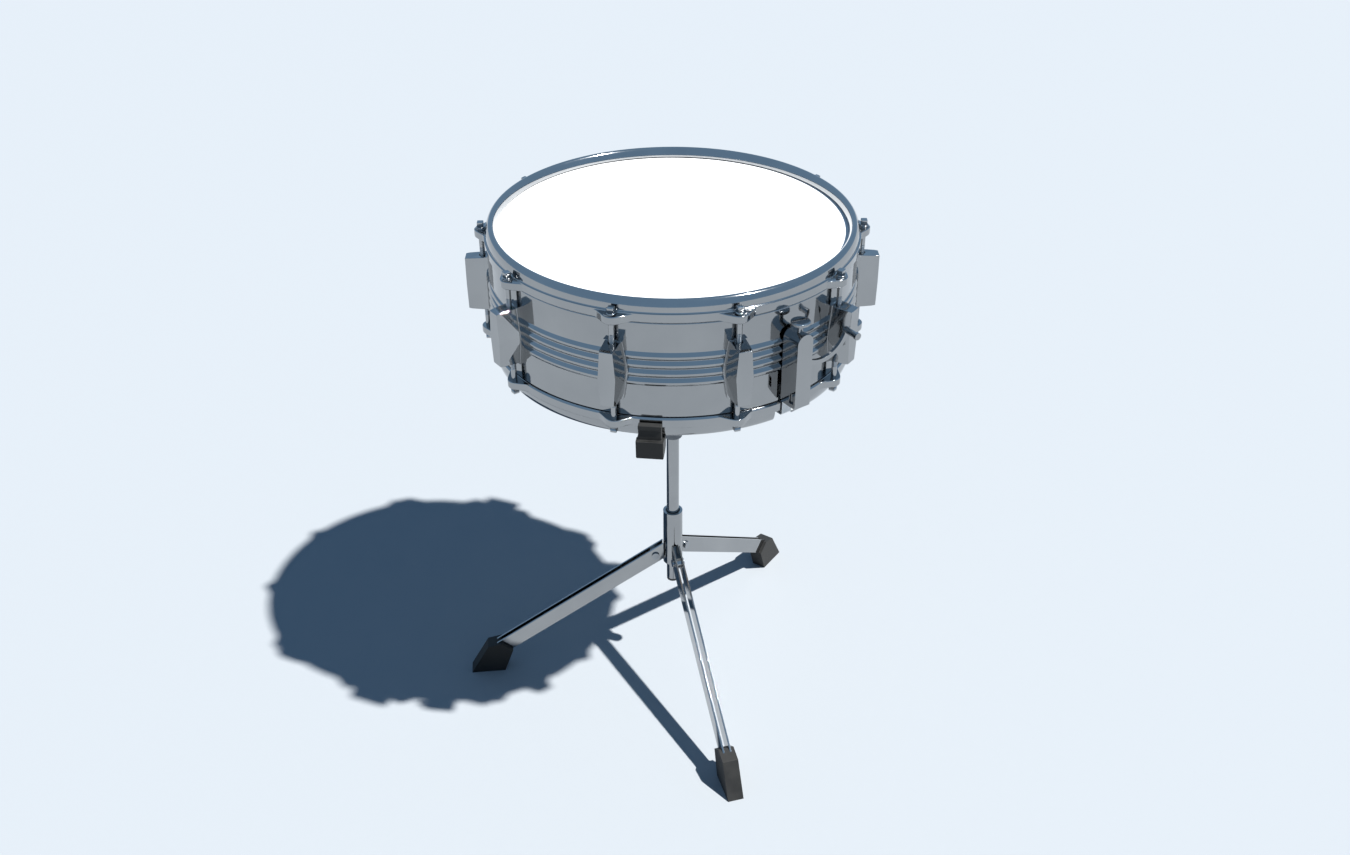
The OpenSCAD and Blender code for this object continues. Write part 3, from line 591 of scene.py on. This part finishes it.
def casing_mesh():
    """One lug casing at azimuth 0: a faceted block on a thin flange, bored for both rods."""
    faceted = [(CASING_BASE, 13.0, 0), (CASING_FRONT, 8.3, 0), (CASING_FRONT, 6.2, CASING_END),
               (CASING_FRONT - 3.8, 6.8, CASING_END + 0.5), (CASING_BASE, 7.8, CASING_END + 1.6)]
    flange = [(x, y, z) for x in (CASING_BASE, FLANGE_FRONT) for y, z in ((14.0, 0.0), (9.0, 30.3))]
    whole = bmesh.new()
    # each shell is bored on its own, because a cut through both at once leaves nothing
    for corners, bevel in ((faceted, CASING_BEVEL), (flange, FLANGE_BEVEL)):
        bores = [cylinder(ROD_X, BORE_R, s * BORE_MID - BORE_HALF, s * BORE_MID + BORE_HALF)
                 for s in (-1, 1)]
        bored = cut_away(finish_mesh(mirrored_block(corners, bevel), "casing"), *bores)
        whole.from_mesh(bored)
        bpy.data.meshes.remove(bored)
    mesh = bpy.data.meshes.new("casing")
    whole.to_mesh(mesh)
    whole.free()
    return mesh


def lug_casings():
    pattern = casing_mesh()
    for i, (angle, node_name) in enumerate(zip(LUG_AZ, CASINGS), 1):
        mesh = pattern.copy()
        mesh.transform(at_azimuth(angle, DRUM_Z))
        even_normals(piece(f"casing_{i}", mesh, node_name))
    bpy.data.meshes.remove(pattern)


# ---------- tension rods ----------

ROD_R, ROD_END, ROD_PLAIN = 2.75, 16.0, 38.6        # the shank is plain above ROD_PLAIN
THREAD_LOW, THREAD_HIGH = 16.6, 38.0
THREAD_PITCH, THREAD_DEPTH, THREAD_STEPS = 1.06, 0.35, 4
ROD_SEAT = EAR_H + 1.02                             # the top of the washer on the ear
KEY_HALF, KEY_TOP = 3.1, 6.35                       # the square head; its top is over the seat
# the round flange under the square head: radii, and heights above the seat
ROD_FLANGE = [(0, 0), (4.1, 0), (4.45, 0.15), (4.6, 0.5), (4.45, 0.85), (4.0, 1.15),
              (3.2, 1.25), (0, 1.25)]


def thread_line():
    """Radii and heights of one side of the threaded shank."""
    count = int((THREAD_HIGH - THREAD_LOW) / THREAD_PITCH * THREAD_STEPS)
    return [(ROD_R - THREAD_DEPTH * (0.5 - 0.5 * math.cos(FULL_TURN * i / THREAD_STEPS)),
             THREAD_LOW + (THREAD_HIGH - THREAD_LOW) * i / count) for i in range(count + 1)]


def tension_rod():
    """A rod at azimuth 0 in parts: threaded shank, flange and square key head."""
    shank = ([(0, ROD_END), (ROD_R - 0.6, ROD_END)] + thread_line()
             + [(ROD_R, ROD_PLAIN), (ROD_R, ROD_SEAT + 0.5), (0, ROD_SEAT + 0.5)])
    body = lathe(even_ring(shank, 20), closed=False)
    flange = lathe(even_ring([(r, ROD_SEAT + h) for r, h in ROD_FLANGE], 28), closed=False)
    key = block(-KEY_HALF, KEY_HALF, -KEY_HALF, KEY_HALF, ROD_SEAT + 1.0, ROD_SEAT + KEY_TOP)
    upright = [e for e in key.edges if abs(e.verts[0].co.z - e.verts[1].co.z) > MM]
    bmesh.ops.bevel(key, geom=upright, offset=0.7 * MM, segments=3, profile=0.5, affect="EDGES")
    top = max(key.faces, key=lambda f: f.calc_center_median().z)
    bmesh.ops.bevel(key, geom=list(top.edges), offset=0.6 * MM, segments=3, profile=0.5,
                    affect="EDGES")
    return body, flange, key


def tension_rods():
    rod = tension_rod()
    to_rod = Matrix.Translation((ROD_X * MM, 0, 0))
    for name, node_name, flip in (("top_rods", "top_tension_rods", False),
                                  ("bottom_rods", "bottom_tension_rods", True)):
        parts = [(part, at_azimuth(angle, DRUM_Z, flip) @ to_rod)
                 for angle in LUG_AZ for part in rod]
        even_normals(piece(name, finish_mesh(joined(parts), node_name), node_name))
    for part in rod:
        part.free()


# ---------- snares ----------

WIRES, WIRE_GAP, WIRE_R = 20, 2.1, 0.26
COIL_HALF, COIL_PITCH = 155.0, 2.6      # half a coiled wire's length, and its length per turn
COIL_R, COIL_STEPS = 0.62, 8


def snare_coils():
    """The coiled wires under the snare-side head, with a square section."""
    low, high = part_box("snare_wires")
    level = (low.z + high.z) / 2 / MM
    count = int(2 * COIL_HALF / COIL_PITCH * COIL_STEPS)
    along = Vector((1, 0, 0))
    bm = bmesh.new()
    for w in range(WIRES):
        y = (w - (WIRES - 1) / 2) * WIRE_GAP
        rings = []
        for i in range(count + 1):
            turned = FULL_TURN * i / COIL_STEPS
            out = Vector((0, math.cos(turned), math.sin(turned)))
            middle = Vector((-COIL_HALF + 2 * COIL_HALF * i / count, y, level)) + out * COIL_R
            across = along.cross(out)
            way = (along * COIL_PITCH + across * 2 * math.pi * COIL_R).normalized()
            side = way.cross(out)
            rings.append([
                bm.verts.new((middle + WIRE_R * (out * math.cos(a) + side * math.sin(a))) * MM)
                for a in (0, math.pi / 2, math.pi, -math.pi / 2)])
        for here, there in zip(rings, rings[1:]):
            for j in range(4):
                k = (j + 1) % 4
                bm.faces.new((here[j], there[j], there[k], here[k]))
        bm.faces.new(rings[0])
        bm.faces.new(rings[-1][::-1])
    bm.transform(Matrix.Rotation(STRAINER_AZ, 4, "Z"))
    piece("snare_coils", finish_mesh(bm, "snare_coils"), "snare_wires")


# ---------- strainer knob ----------

KNOB_RIDGES, RIDGE_STEPS, RIDGE_DEPTH = 44, 6, 0.22
# radii, depths below the top, and 1 where the ridges are cut in
KNOB_LINE = [(0, 54.3, 0), (2.2, 54.3, 0), (2.5, 54.0, 0), (2.5, 6.1, 0), (3.4, 5.1, 0),
             (6.5, 4.1, 0), (8.6, 3.6, 0), (9.1, 3.3, 1), (9.3, 2.9, 1), (9.3, 1.2, 1),
             (9.1, 0.8, 1), (8.7, 0.55, 0), (7.6, 0.35, 0), (4, 0.1, 0), (0, 0, 0)]


def knurled_knob():
    """Mushroom knob on its screw, with fine ridges round its rim."""
    here = centre("tension_knob")
    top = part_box("tension_knob")[1].z / MM
    count = KNOB_RIDGES * RIDGE_STEPS
    columns = []
    for i in range(count):
        dip = RIDGE_DEPTH * (0.5 - 0.5 * math.cos(FULL_TURN * i / RIDGE_STEPS))
        columns.append((FULL_TURN * i / count,
                        [(r - dip * ridged, top - depth) for r, depth, ridged in KNOB_LINE]))
    bm = lathe(columns, closed=False)
    bm.transform(Matrix.Translation((here.x, here.y, 0)))
    even_normals(piece("knob", finish_mesh(bm, "knob"), "tension_knob"))


# ---------- camera, floor and light ----------

CAMERA_AT, CAMERA_DOWN, CAMERA_LENS = (0.0025, -1.2385, 1.1321), 33.01, 36.14
FLOOR_COLOUR, FLOOR_HALF = (0.298, 0.3176, 0.334, 1), 30.0
SUN_FROM, SUN_ENERGY, SUN_ANGLE = Vector((0.588, -0.227, 1.0)), 9.5, 1.3
SUN_COLOUR = (1.0, 0.985, 0.965)
# two skies, because no single one gives both the dark shadow and the bright blue in the metal
SKY_COLOUR, MIRROR_SKY_COLOUR = (0.117, 0.22, 0.373, 1), (0.28, 0.45, 0.66, 1)


def camera():
    data = bpy.data.cameras.new("camera")
    data.sensor_width = 36.0
    data.lens = CAMERA_LENS
    data.clip_end = 100.0
    made = bpy.data.objects.new("camera", data)
    made.location = CAMERA_AT
    made.rotation_euler = (math.radians(90 - CAMERA_DOWN), 0.0, 0.0)
    SCENE.collection.objects.link(made)
    SCENE.camera = made


def floor():
    bm = bmesh.new()
    bmesh.ops.create_grid(bm, x_segments=1, y_segments=1, size=FLOOR_HALF)
    made = bpy.data.objects.new("floor", finish_mesh(bm, "floor"))
    SCENE.collection.objects.link(made)
    material, _, _ = new_material("floor", {
        "Base Color": FLOOR_COLOUR, "Roughness": 0.9, "Specular IOR Level": 0.1})
    made.data.materials.append(material)


def light():
    """One hard sun, and a sky that glossy rays see brighter."""
    sun = bpy.data.lights.new("key", "SUN")
    sun.energy = SUN_ENERGY
    sun.angle = math.radians(SUN_ANGLE)
    sun.color = SUN_COLOUR
    made = bpy.data.objects.new("key", sun)
    made.rotation_euler = SUN_FROM.to_track_quat("Z", "Y").to_euler()
    SCENE.collection.objects.link(made)
    world = bpy.data.worlds.new("studio")
    world.use_nodes = True
    tree = world.node_tree
    sky = tree.nodes["Background"]
    sky.inputs["Color"].default_value = SKY_COLOUR
    mirror_sky = node(tree, "ShaderNodeBackground", Color=MIRROR_SKY_COLOUR)
    either = node(tree, "ShaderNodeMixShader")
    glossy = node(tree, "ShaderNodeLightPath").outputs["Is Glossy Ray"]
    for i, source in enumerate((glossy, sky.outputs[0], mirror_sky.outputs[0])):
        tree.links.new(source, either.inputs[i])
    tree.links.new(either.outputs[0], tree.nodes["World Output"].inputs["Surface"])
    SCENE.world = world
    SCENE.view_settings.view_transform = "Standard"


# ---------- everything ----------

camera()
floor()
light()

drum_shell()
hoop("hoop_top", "top_hoop", False)
hoop("hoop_bottom", "bottom_hoop", True, (STRAINER_AZ, STRAINER_AZ + math.pi))
lug_casings()
tension_rods()
snare_coils()
knurled_knob()

# how far the edges of a CAD node are rounded, in mm, where that isn't USUAL_EDGE; 0 is not at all
USUAL_EDGE = 0.3
EDGE = {
    "batter_head": 0, "snare_side_head": 0, "snare_straps": 0,
    "column_tube": 0, "guide_bush": 0, "leg_collar": 0,
    "leg_right": 0.15, "leg_left": 0.15, "leg_front": 0.15,
    "foot_right": 1.2, "foot_left": 1.2, "foot_front": 1.2,
    "grip_right": 1.0, "grip_left": 1.0, "grip_front": 1.0,
    "height_screw": 0.9, "tilt_screw": 0.9,
    "strainer_body": 0.7, "lever_handle": 0.5, "butt_plate": 0.4,
}
for name in NODES:
    if name not in REPLACED:
        dress(name, EDGE.get(name, USUAL_EDGE) * MM)
